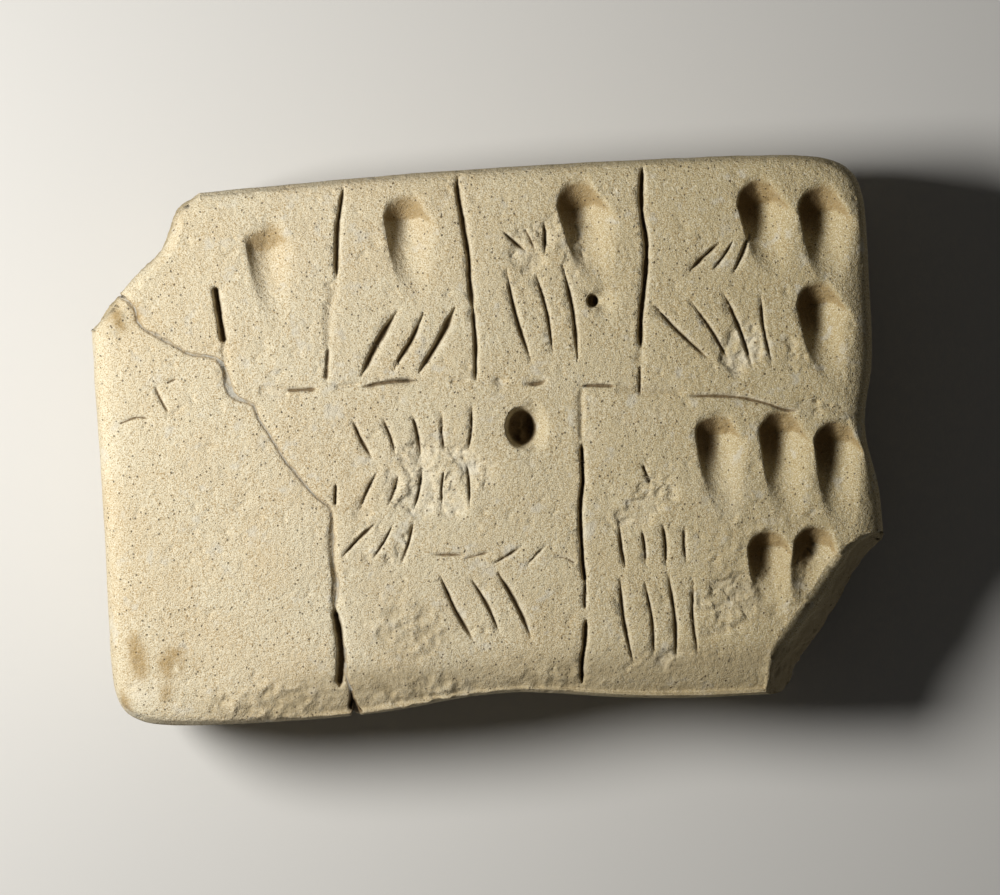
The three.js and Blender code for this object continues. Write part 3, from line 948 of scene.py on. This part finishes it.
def vertex_normals(places: np.ndarray, quads: np.ndarray) -> np.ndarray:
    """Unit normals: the crossed diagonals of the cells round each vertex, summed.

    Args:
        places: Vertices.
        quads: Four vertex numbers per cell.

    Returns:
        One normal per vertex.
    """
    corner = places[quads]
    facing = np.cross(corner[:, 2] - corner[:, 0], corner[:, 3] - corner[:, 1])
    total = np.empty_like(places)
    for axis in range(3):
        weights = np.repeat(facing[:, axis], 4)
        total[:, axis] = np.bincount(quads.ravel(), weights, minlength=len(places))
    return total / np.maximum(np.linalg.norm(total, axis=1), 1e-12)[:, None]


@dataclass
class ClayTablet:
    """The tablet as one closed piece: its form, everything cut into it, and its finish."""

    form: TabletForm = field(default_factory=TabletForm)
    crack: Crack = field(default_factory=lambda: Crack([
        (-36.8, 17.2), (-34.4, 15.2), (-34.2, 13.6), (-32.1, 12), (-28.9, 10.1), (-26.1, 9.2),
        (-25.5, 6.7), (-24.9, 5.5), (-23, 4.6), (-22.7, 3.6), (-21.2, 0.6), (-18.9, -2.8),
        (-17.1, -5), (-15.9, -6.5), (-15.95, -11), (-15.75, -13.3), (-16.1, -16.5),
        (-15.4, -20), (-15.3, -22.5), (-14.8, -25.5), (-14.3, -29),
    ]))
    cells: tuple[int, int] = (700, 490)
    quick_cells: tuple[int, int] = (320, 220)
    most_triangles: int = 188_000
    crack_depth: float = 0.24
    mouth_depth: float = 1.6
    hem_depth: float = 1.3
    flake_depth: float = 0.2
    lower_flake_depth: float = 0.16
    pebble_height: float = 0.24

    def relief(self, places: np.ndarray, normals: np.ndarray, broken: np.ndarray,
               grain: Grain) -> tuple[np.ndarray, np.ndarray, dict[str, np.ndarray]]:
        """Inward depth of everything at each vertex, and what its surface carries.

        Args:
            places: Vertices on the plain skin.
            normals: Their normals.
            broken: 1 on broken faces.
            grain: Random relief.

        Returns:
            Depths in millimetres, the dents' own depths, and the masks for the material.
        """
        y = places[:, 1]
        on_face = ramp(normals[:, 2], 0.05, 0.4)
        marks = {name: np.zeros(len(places)) for name in ("soil_and_shade", "pale", "brown", "rough")}
        swell = SWELL.over(places, grain) + ROLL.over(places, grain)
        depth = 0.02 - swell * (0.35 + 0.65 * on_face) + 0.1 * on_face
        depth -= RIPPLE.over(places, grain)
        depth += 0.35 * np.clip(PITS.over(places, grain) - 0.6, 0.0, 1.0)
        dug = self.press_dents(places, marks, grain)
        self.press_lines(places, on_face, depth, marks, grain)
        self.wear_face(places, on_face, depth, marks, grain)
        chipped = np.abs(FRACTURE_CHIPS.over(places, grain))
        depth += broken * (chipped + np.abs(FRACTURE_GRIT.over(places, grain)))
        marks["rough"] = np.maximum(marks["rough"], broken)
        inside = -self.crack.edge_distance(places, grain, self.form.thickness)
        mouth = ramp(-y, 23.2, 24.8)
        depth += self.crack_depth * ramp(inside, -0.12, 0.1)
        depth += self.mouth_depth * ramp(inside, 0.08, 0.4) * mouth
        marks["soil_and_shade"] = np.maximum(marks["soil_and_shade"], ramp(inside, -0.1, 0.15) * mouth)
        return depth, dug, marks

    @staticmethod
    def hem(x: np.ndarray, y: np.ndarray) -> np.ndarray:
        """Worn band along the bottom edge: 0 on the face, 1 at the edge right of the crack."""
        return ramp(-y, 19.5, 27.8) * ramp(x, -32.0, -12.0)

    def press_dents(self, places: np.ndarray, marks: dict[str, np.ndarray],
                    grain: Grain) -> np.ndarray:
        """Depth of the dents, the holes and the worn hem below the plain face.

        Args:
            places: Points in space.
            marks: Masks, whose dirt-and-shade and brown masks are changed in place.
            grain: Random relief.

        Returns:
            Depths in millimetres.
        """
        x, y = places[:, 0], places[:, 1]
        dug = self.hem_depth * self.hem(x, y) ** 2
        high = places[:, 2] > self.form.rim_height
        for dent in DENTS:
            near = (np.abs(x - dent.x) < 5.5) & (y < dent.top + 3) & (
                y > dent.top - dent.length - 3) & high
            drag = DISC_DRAG.over(places[near], grain)
            here, disc, shade = dent.carve(x[near], y[near], drag)
            dug[near] += here
            # Painted shade, made darker towards the east end where the lamp's light is weaker.
            shade = shade * (0.45 + 0.5 * ramp(x[near], -5.0, 25.0))
            marks["brown"][near] = np.maximum(marks["brown"][near], 0.9 * disc)
            marks["soil_and_shade"][near] = np.maximum(marks["soil_and_shade"][near], shade)
        for hole in HOLES:
            near = (np.hypot(x - hole.x, y - hole.y) < 4.5) & high
            here = hole.carve(x[near], y[near])
            crumbs = ramp(here, 1.0, 2.5) * HOLE_CRUMBS.over(places[near], grain)
            dug[near] += here + 0.3 * crumbs
            # Dirt and painted shade inside the hole, darker the deeper it goes.
            soil_and_shade = ramp(here, 0.25 * hole.depth, 0.8 * hole.depth) * (1.0 - 0.25 * crumbs)
            marks["soil_and_shade"][near] = np.maximum(marks["soil_and_shade"][near], soil_and_shade)
        return dug

    def press_lines(self, places: np.ndarray, on_face: np.ndarray, depth: np.ndarray,
                    marks: dict[str, np.ndarray], grain: Grain) -> None:
        """Adds ruled lines, strokes and scratches to the depth, dirt and painted shade in their
        bottoms, and painted highlights on their lit rims.

        Args:
            places: Points in space.
            on_face: 1 on the face.
            depth: Depths, changed in place.
            marks: Masks, whose dirt-and-shade and pale masks are changed in place.
            grain: Random relief.
        """
        x, y = places[:, 0], places[:, 1]
        strokes = [stroke for row in STROKE_ROWS for stroke in row.strokes()]
        for line in [*RULINGS, *strokes, *SCRATCHES]:
            ends = np.array(line.path)
            low, high = ends.min(axis=0) - 2.0, ends.max(axis=0) + 2.0
            near = (x > low[0]) & (x < high[0]) & (y > low[1]) & (y < high[1]) & (on_face > 0)
            wobble = line.width * LINE_WOBBLE.over(places[near], grain)
            here, soil_and_shade, pale = line.carve(x[near], y[near], wobble)
            here = here * on_face[near]
            depth[near] += here
            marks["soil_and_shade"][near] = np.maximum(marks["soil_and_shade"][near], soil_and_shade * on_face[near])
            # Painted highlight along the rims of the lines that face the lamp.
            marks["pale"][near] = np.maximum(marks["pale"][near], 0.6 * pale * on_face[near])

    def wear_face(self, places: np.ndarray, on_face: np.ndarray, depth: np.ndarray,
                  marks: dict[str, np.ndarray], grain: Grain) -> None:
        """Adds flakes, pebbles and stains to the depth and the masks.

        Args:
            places: Points in space.
            on_face: 1 on the face.
            depth: Depths, changed in place.
            marks: Masks, changed in place.
            grain: Random relief.
        """
        x, y = places[:, 0], places[:, 1]
        flaked = sum(zone.mask(x, y) for zone in FLAKED) * on_face
        edges = FLAKE_EDGES.over(places, grain)
        within = np.minimum(flaked * 2.0, 1.0)
        steps = ramp(edges + 0.75 * flaked, 0.48, 0.66) * within
        below = ramp(LOWER_FLAKES.over(places, grain) + 0.6 * flaked, 0.6, 0.72) * within
        depth += self.flake_depth * steps + self.lower_flake_depth * below
        depth += np.minimum(flaked, 1.0) * FLAKE_GRIT.over(places, grain)
        hem = self.hem(x, y) * on_face
        granular = np.clip(sum(zone.mask(x, y) for zone in GRANULAR), 0.0, 1.0) * on_face
        pebbles = PEBBLES.over(places, grain)
        depth += self.pebble_height * granular * pebbles
        marks["rough"] = np.maximum(marks["rough"], granular * (0.45 + 0.5 * pebbles))
        marks["rough"] = np.maximum(marks["rough"], ramp(hem, 0.0, 0.5) * (0.8 + 0.3 * pebbles))
        pale = sum(zone.mask(x, y) for zone in PALE) * on_face
        pale = pale * (0.45 + 0.55 * edges) + 0.22 * steps + 0.15 * below
        marks["pale"] = np.clip(np.maximum(marks["pale"], pale), 0.0, 1.0)
        brown = sum(zone.mask(x, y) for zone in BROWN) * on_face
        stretched = places * np.array([1.0, 0.45, 1.0])
        brown = np.clip(brown * (1.0 + STREAKS.over(stretched, grain)), 0.0, 1.0)
        marks["brown"] = np.maximum(marks["brown"], brown)

    def build(self) -> bpy.types.Object:
        """Makes the tablet's mesh, thins it to its limit and dresses it.

        Returns:
            The finished piece.
        """
        grain = Grain(41)
        grid = PillowGrid(*self.cells)
        quads = grid.quads()
        places, broken = self.form.skin(*grid.rays(), grain)
        normals = vertex_normals(places, quads)
        depth, dug, marks = self.relief(places, normals, broken, grain)
        pressed = self.form.face_height(places[:, 0], places[:, 1]) - dug
        upright = ramp(normals[:, 2], 0.3, 0.9)[:, None]
        inward = normals * (1.0 - upright) + np.array([0.0, 0.0, 1.0]) * upright
        level = places * np.array([1.0, 1.0, 0.0])
        level /= np.maximum(np.linalg.norm(level, axis=1), 1.0)[:, None]
        inward += (level - inward) * broken[:, None]
        places = places - inward * depth[:, None]
        places[:, 2] -= dug * upright[:, 0]
        lowered = pressed + 0.2 * ramp(dug, 0.5, 0.1)
        places[:, 2] = np.where(dug > 0.05, np.minimum(places[:, 2], lowered), places[:, 2])
        places[:, 2] = np.maximum(places[:, 2], 0.0)
        places, shift = self.fitted(places)
        piece = self.mesh_piece("clay_tablet", places * MM, quads, marks)
        thinned(piece, self.most_triangles)
        self.mark_crack(piece, shift, grain)
        piece.data.shade_smooth()
        return piece

    @staticmethod
    def fitted(places: np.ndarray) -> tuple[np.ndarray, np.ndarray]:
        """Centres the tablet on the frame's solid, and keeps it inside the solid's box.

        Args:
            places: Vertices in millimetres.

        Returns:
            The moved vertices, and the shift that centred them.
        """
        low, high = (np.array(corner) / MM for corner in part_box("tablet"))
        middle = 0.5 * (places.min(axis=0) + places.max(axis=0))
        shift = 0.5 * (low + high) - middle
        shift[2] = 0.0
        moved = places + shift
        size = moved.max(axis=0) - moved.min(axis=0)
        share = np.minimum((high - low - FIT_GAP) / size, 1.0)
        log.info("fitted by %s, shifted by %s", share.round(4), shift.round(3))
        return moved * share, shift

    @staticmethod
    def mesh_piece(name: str, places: np.ndarray, quads: np.ndarray,
                   marks: dict[str, np.ndarray]) -> bpy.types.Object:
        """Puts vertices, cells and masks into a new object.

        Args:
            name: The piece's name.
            places: Vertices in metres.
            quads: Four vertex numbers per cell.
            marks: Named masks, one number per vertex.

        Returns:
            The object, linked to the scene.
        """
        mesh = bpy.data.meshes.new(name)
        mesh.vertices.add(len(places))
        mesh.vertices.foreach_set("co", places.astype(np.float32).ravel())
        mesh.loops.add(quads.size)
        mesh.loops.foreach_set("vertex_index", quads.astype(np.int32).ravel())
        mesh.polygons.add(len(quads))
        mesh.polygons.foreach_set("loop_start", np.arange(0, quads.size, 4, dtype=np.int32))
        mesh.update(calc_edges=True)
        for mark, values in marks.items():
            layer = mesh.attributes.new(mark, "FLOAT", "POINT")
            layer.data.foreach_set("value", values.astype(np.float32))
        piece = bpy.data.objects.new(name, mesh)
        bpy.context.scene.collection.objects.link(piece)
        return piece

    def mark_crack(self, piece: bpy.types.Object, shift: np.ndarray, grain: Grain) -> None:
        """Writes the distance from the crack's edge, in millimetres, to each vertex.

        Args:
            piece: The finished piece.
            shift: How far it was moved from its own frame.
            grain: Random relief.
        """
        mesh = piece.data
        places = np.empty(3 * len(mesh.vertices), dtype=np.float32)
        mesh.vertices.foreach_get("co", places)
        places = places.reshape(-1, 3).astype(float) / MM - shift
        distance = self.crack.edge_distance(places, grain, self.form.thickness)
        layer = mesh.attributes.new("crack", "FLOAT", "POINT")
        layer.data.foreach_set("value", distance.astype(np.float32))


def triangle_count(mesh: bpy.types.Mesh) -> int:
    """Number of triangles that a mesh's faces make."""
    return sum(len(face.vertices) - 2 for face in mesh.polygons)


def thinned(piece: bpy.types.Object, most: int) -> None:
    """Collapses a piece's flattest edges until it has no more than so many triangles.

    Args:
        piece: The piece, whose mesh is replaced.
        most: The most triangles that it may have.
    """
    mesh = piece.data
    triangles = triangle_count(mesh)
    thin = piece.modifiers.new("thin", "DECIMATE")
    thin.ratio = min(1.0, most / triangles)
    shown = piece.evaluated_get(bpy.context.evaluated_depsgraph_get())
    made = bpy.data.meshes.new_from_object(shown)
    piece.modifiers.clear()
    piece.data = made
    bpy.data.meshes.remove(mesh)
    made.name = piece.name
    log.info("%s thinned from %d to %d triangles", piece.name, triangles, triangle_count(made))


# ---- Materials ----


class Value:
    """A shader socket on which Python's operators add Math nodes."""

    def __init__(self, shader: "Shader", socket: bpy.types.NodeSocket) -> None:
        """Wraps an output socket of a shader's tree."""
        self.shader = shader
        self.socket = socket

    def _math(self, operation: str, first: "Value | float", second: "Value | float") -> "Value":
        """Adds a Math node on two values.

        Args:
            operation: The node's operation.
            first: Its first value or link.
            second: Its second value or link.

        Returns:
            The node's result.
        """
        node = self.shader.node("Math", {"operation": operation}, {0: first, 1: second})
        return Value(self.shader, node.outputs[0])

    def __add__(self, other: "Value | float") -> "Value":
        """self + other."""
        return self._math("ADD", self, other)

    __radd__ = __add__

    def __mul__(self, other: "Value | float") -> "Value":
        """self * other."""
        return self._math("MULTIPLY", self, other)

    __rmul__ = __mul__

    def __sub__(self, other: "Value | float") -> "Value":
        """self - other."""
        return self._math("SUBTRACT", self, other)

    def __rsub__(self, other: float) -> "Value":
        """other - self."""
        return self._math("SUBTRACT", other, self)

    def ramp(self, low: float, high: float) -> "Value":
        """Smooth step from 0 at low to 1 at high; it falls where low is above high."""
        flip = low > high
        node = self.shader.node(
            "MapRange",
            {"interpolation_type": "SMOOTHSTEP"},
            {"Value": self, "From Min": min(low, high), "From Max": max(low, high),
             "To Min": 1.0 if flip else 0.0, "To Max": 0.0 if flip else 1.0},
        )
        return Value(self.shader, node.outputs[0])


class Shader:
    """A material's node tree, built from its own few kinds of node."""

    def __init__(self, name: str) -> None:
        """Starts a material that holds a Principled shader and its output."""
        self.material = bpy.data.materials.new(name)
        self.material.use_nodes = True
        self.tree = self.material.node_tree
        self.surface = self.tree.nodes["Principled BSDF"]
        self.places = Value(self, self.node("TexCoord").outputs["Object"])

    def node(self, kind: str, settings: dict[str, object] | None = None,
             inputs: dict[object, object] | None = None) -> bpy.types.Node:
        """Adds a node.

        Args:
            kind: Its type, without ShaderNode in front.
            settings: Its properties, which are set first.
            inputs: Values or links of its sockets, by name or number.

        Returns:
            The node.
        """
        node = self.tree.nodes.new("ShaderNode" + kind)
        for name, value in (settings or {}).items():
            setattr(node, name, value)
        for key, value in (inputs or {}).items():
            self.feed(node.inputs[key], value)
        return node

    def feed(self, socket: bpy.types.NodeSocket, value: object) -> None:
        """Links or sets an input socket."""
        if isinstance(value, Value):
            self.tree.links.new(value.socket, socket)
        else:
            socket.default_value = value

    def noise(self, size: float, detail: float = 2.0, rough: float = 0.5,
              warp: float = 0.0) -> Value:
        """Noise from 0 to 1.

        Args:
            size: Size of its lumps in metres.
            detail: How many finer layers it has.
            rough: How strong they are.
            warp: How far it is distorted.

        Returns:
            The noise.
        """
        node = self.node(
            "TexNoise",
            {"noise_dimensions": "3D"},
            {"Vector": self.places, "Scale": 1.0 / size, "Detail": detail, "Roughness": rough,
             "Distortion": warp},
        )
        return Value(self, node.outputs["Fac"])

    def dots(self, spacing: float, jitter: float = 1.0) -> Value:
        """Distance to the nearest of scattered points, in units of their spacing."""
        node = self.node("TexVoronoi", {}, {"Vector": self.places, "Scale": 1.0 / spacing,
                                            "Randomness": jitter})
        return Value(self, node.outputs["Distance"])

    def across(self) -> Value:
        """Place along the tablet's length, in metres."""
        node = self.node("SeparateXYZ", {}, {"Vector": self.places})
        return Value(self, node.outputs["X"])

    def attribute(self, name: str) -> Value:
        """A number that the mesh carries at each vertex."""
        return Value(self, self.node("Attribute", {"attribute_name": name}).outputs["Fac"])

    def blend(self, base: object, over: object, share: Value | float) -> Value:
        """Mixes two colours.

        Args:
            base: Colour where the share is 0.
            over: Colour where the share is 1.
            share: The mask.

        Returns:
            The mixed colour.
        """
        node = self.node("Mix", {"data_type": "RGBA"}, {0: share, 6: base, 7: over})
        return Value(self, node.outputs[2])


@dataclass(frozen=True)
class ClayFinish:
    """Sun-dried clay: sandy grain, dark specks, worn pale spots, dirt with painted shade in its
    cuts and dents, and painted highlights on the lit rims of its lines.
    """

    cream: Colour = (0.63, 0.56, 0.40, 1.0)
    tan: Colour = (0.56, 0.45, 0.28, 1.0)
    dun_and_shade: Colour = (0.47, 0.385, 0.20, 1.0)
    umber_grain: Colour = (0.36, 0.25, 0.12, 1.0)
    ash: Colour = (0.60, 0.57, 0.48, 1.0)
    speck: Colour = (0.10, 0.07, 0.04, 1.0)
    soil_and_shade: Colour = (0.12, 0.075, 0.03, 1.0)
    rust: Colour = (0.35, 0.235, 0.095, 1.0)
    chalk: Colour = (0.76, 0.70, 0.56, 1.0)
    core: Colour = (0.34, 0.27, 0.155, 1.0)
    glue: Colour = (0.42, 0.40, 0.34, 1.0)
    joint: Colour = (0.24, 0.17, 0.09, 1.0)

    def make(self) -> bpy.types.Material:
        """Builds the material.

        Returns:
            The clay.
        """
        s = Shader("sun_dried_clay")
        grain = s.noise(0.13 * MM, 2.0, 0.6)
        east_tone_and_shade = s.across().ramp(-22 * MM, 34 * MM)
        patches = s.noise(4.5 * MM, 4.0, 0.55)
        drifts = s.noise(16 * MM, 3.0, 0.5)
        colour = s.blend(self.cream, self.tan, patches.ramp(0.35, 0.72) * 0.55)
        colour = s.blend(colour, self.tan, drifts.ramp(0.45, 0.7) * 0.4)
        # Darker and more saturated towards the east end: partly the clay's own tone, partly painted
        # shade where the lamp's light falls off.
        colour = s.blend(colour, self.dun_and_shade, east_tone_and_shade * 0.8)
        colour = s.blend(colour, self.umber_grain, grain.ramp(0.5, 0.66) * 0.95)
        colour = s.blend(colour, self.chalk, grain.ramp(0.48, 0.32) * 0.7)
        ashen = s.noise(2.2 * MM, 3.0, 0.6).ramp(0.58, 0.7)
        colour = s.blend(colour, self.ash, ashen * 0.5)
        worn = s.noise(0.9 * MM, 4.0, 0.65).ramp(0.3, 0.62)
        # Pale wear, and the painted highlight on the lit rims of the lines.
        colour = s.blend(colour, self.chalk, s.attribute("pale") * worn * 0.65)
        colour = s.blend(colour, self.core, s.attribute("rough") * 0.75)
        colour = s.blend(colour, self.rust, s.attribute("brown") * (0.4 + grain * 0.75))
        specks = s.dots(0.7 * MM).ramp(0.17, 0.1) * s.noise(2.0 * MM).ramp(0.34, 0.46)
        big_specks = s.dots(2.3 * MM).ramp(0.06, 0.03) * grain.ramp(0.3, 0.5)
        colour = s.blend(colour, self.speck, specks * 0.75)
        colour = s.blend(colour, self.speck, big_specks * 0.85)
        crack = s.attribute("crack")
        colour = s.blend(colour, self.joint, crack.ramp(0.2, 0.0) * 0.6)
        colour = s.blend(colour, self.glue, crack.ramp(0.02, -0.06) * worn)
        # Dirt and painted shade in the lines, holes and dents.
        colour = s.blend(colour, self.soil_and_shade, s.attribute("soil_and_shade").ramp(0.1, 0.95) * 0.88)
        s.feed(s.surface.inputs["Base Color"], colour)
        s.feed(s.surface.inputs["Roughness"], 0.86 + grain * 0.12)
        s.surface.inputs["Specular IOR Level"].default_value = 0.25
        height = grain * 0.6 + s.noise(0.5 * MM, 2.0) - specks * 0.4 - big_specks * 0.8
        bump = s.node("Bump", {}, {"Strength": 1.0, "Distance": 0.16 * MM, "Height": height})
        s.feed(s.surface.inputs["Normal"], Value(s, bump.outputs[0]))
        return s.material


@dataclass(frozen=True)
class FloorFinish:
    """Plain pale floor."""

    colour: Colour = (0.60, 0.59, 0.57, 1.0)

    def make(self) -> bpy.types.Material:
        """Builds the material.

        Returns:
            The floor's material.
        """
        s = Shader("pale_floor")
        s.surface.inputs["Base Color"].default_value = self.colour
        s.surface.inputs["Roughness"].default_value = 0.9
        s.surface.inputs["Specular IOR Level"].default_value = 0.1
        return s.material


# ---- The studio ----


@dataclass
class Studio:
    """Floor, lamps and camera round the tablet."""

    width_seen: float = 100.0
    lens: float = 250.0
    sensor: float = 36.0
    roll: float = -3.2
    aim: tuple[float, float, float] = (1.16, -0.93, 20.4)
    key_place: tuple[float, float, float] = (-140.0, 28.0, 170.0)
    key_size: float = 75.0
    key_power: float = 0.62
    fill_light: float = 0.035
    key_tint: tuple[float, float, float] = (1.0, 0.985, 0.95)
    sky_tint: Colour = (1.0, 0.98, 0.95, 1.0)
    lamp_target: float = 18.0
    floor_reach: float = 1000.0

    def lay_floor(self) -> None:
        """A square of floor, two metres wide."""
        half = self.floor_reach * MM
        mesh = bpy.data.meshes.new("floor")
        corners = [(-half, -half, 0), (half, -half, 0), (half, half, 0), (-half, half, 0)]
        mesh.from_pydata(corners, [], [(0, 1, 2, 3)])
        floor = bpy.data.objects.new("floor", mesh)
        bpy.context.scene.collection.objects.link(floor)
        mesh.materials.append(FloorFinish().make())

    def hang_lamp(self) -> None:
        """The key lamp, low on the left and aimed at the tablet, and a dim sky."""
        data = bpy.data.lights.new("key", "AREA")
        data.shape = "DISK"
        data.size = self.key_size * MM
        data.energy = self.key_power
        data.color = self.key_tint
        lamp = bpy.data.objects.new("key", data)
        lamp.location = [c * MM for c in self.key_place]
        towards = Vector((0.0, 0.0, self.lamp_target * MM)) - lamp.location
        lamp.rotation_euler = towards.to_track_quat("-Z", "Y").to_euler()
        bpy.context.scene.collection.objects.link(lamp)
        world = bpy.data.worlds.new("studio")
        world.use_nodes = True
        sky = world.node_tree.nodes["Background"]
        sky.inputs["Color"].default_value = self.sky_tint
        sky.inputs["Strength"].default_value = self.fill_light
        bpy.context.scene.world = world

    def set_camera(self) -> None:
        """A long lens straight above the face, rolled a little."""
        data = bpy.data.cameras.new("camera")
        data.lens = self.lens
        data.sensor_width = self.sensor
        away = self.width_seen * self.lens / self.sensor
        data.clip_start, data.clip_end = 0.01, 10.0
        camera = bpy.data.objects.new("camera", data)
        camera.location = (self.aim[0] * MM, self.aim[1] * MM, (self.aim[2] + away) * MM)
        camera.rotation_euler = (0.0, 0.0, math.radians(self.roll))
        bpy.context.scene.collection.objects.link(camera)
        bpy.context.scene.camera = camera

    def build(self) -> None:
        """Sets up everything and the plain view transform."""
        self.lay_floor()
        self.hang_lamp()
        self.set_camera()
        bpy.context.scene.view_settings.view_transform = "Standard"


def main() -> None:
    logging.basicConfig(level=logging.INFO, format="%(name)s: %(message)s")
    Studio().build()
    log.info("studio: floor, key lamp, sky and camera")
    tablet = ClayTablet().build()
    tablet.data.materials.clear()
    tablet.data.materials.append(ClayFinish().make())
    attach(tablet, "root")
    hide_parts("tablet")
    log.info("%s: %d triangles", tablet.name, triangle_count(tablet.data))


if __name__ == "__main__":
    main()
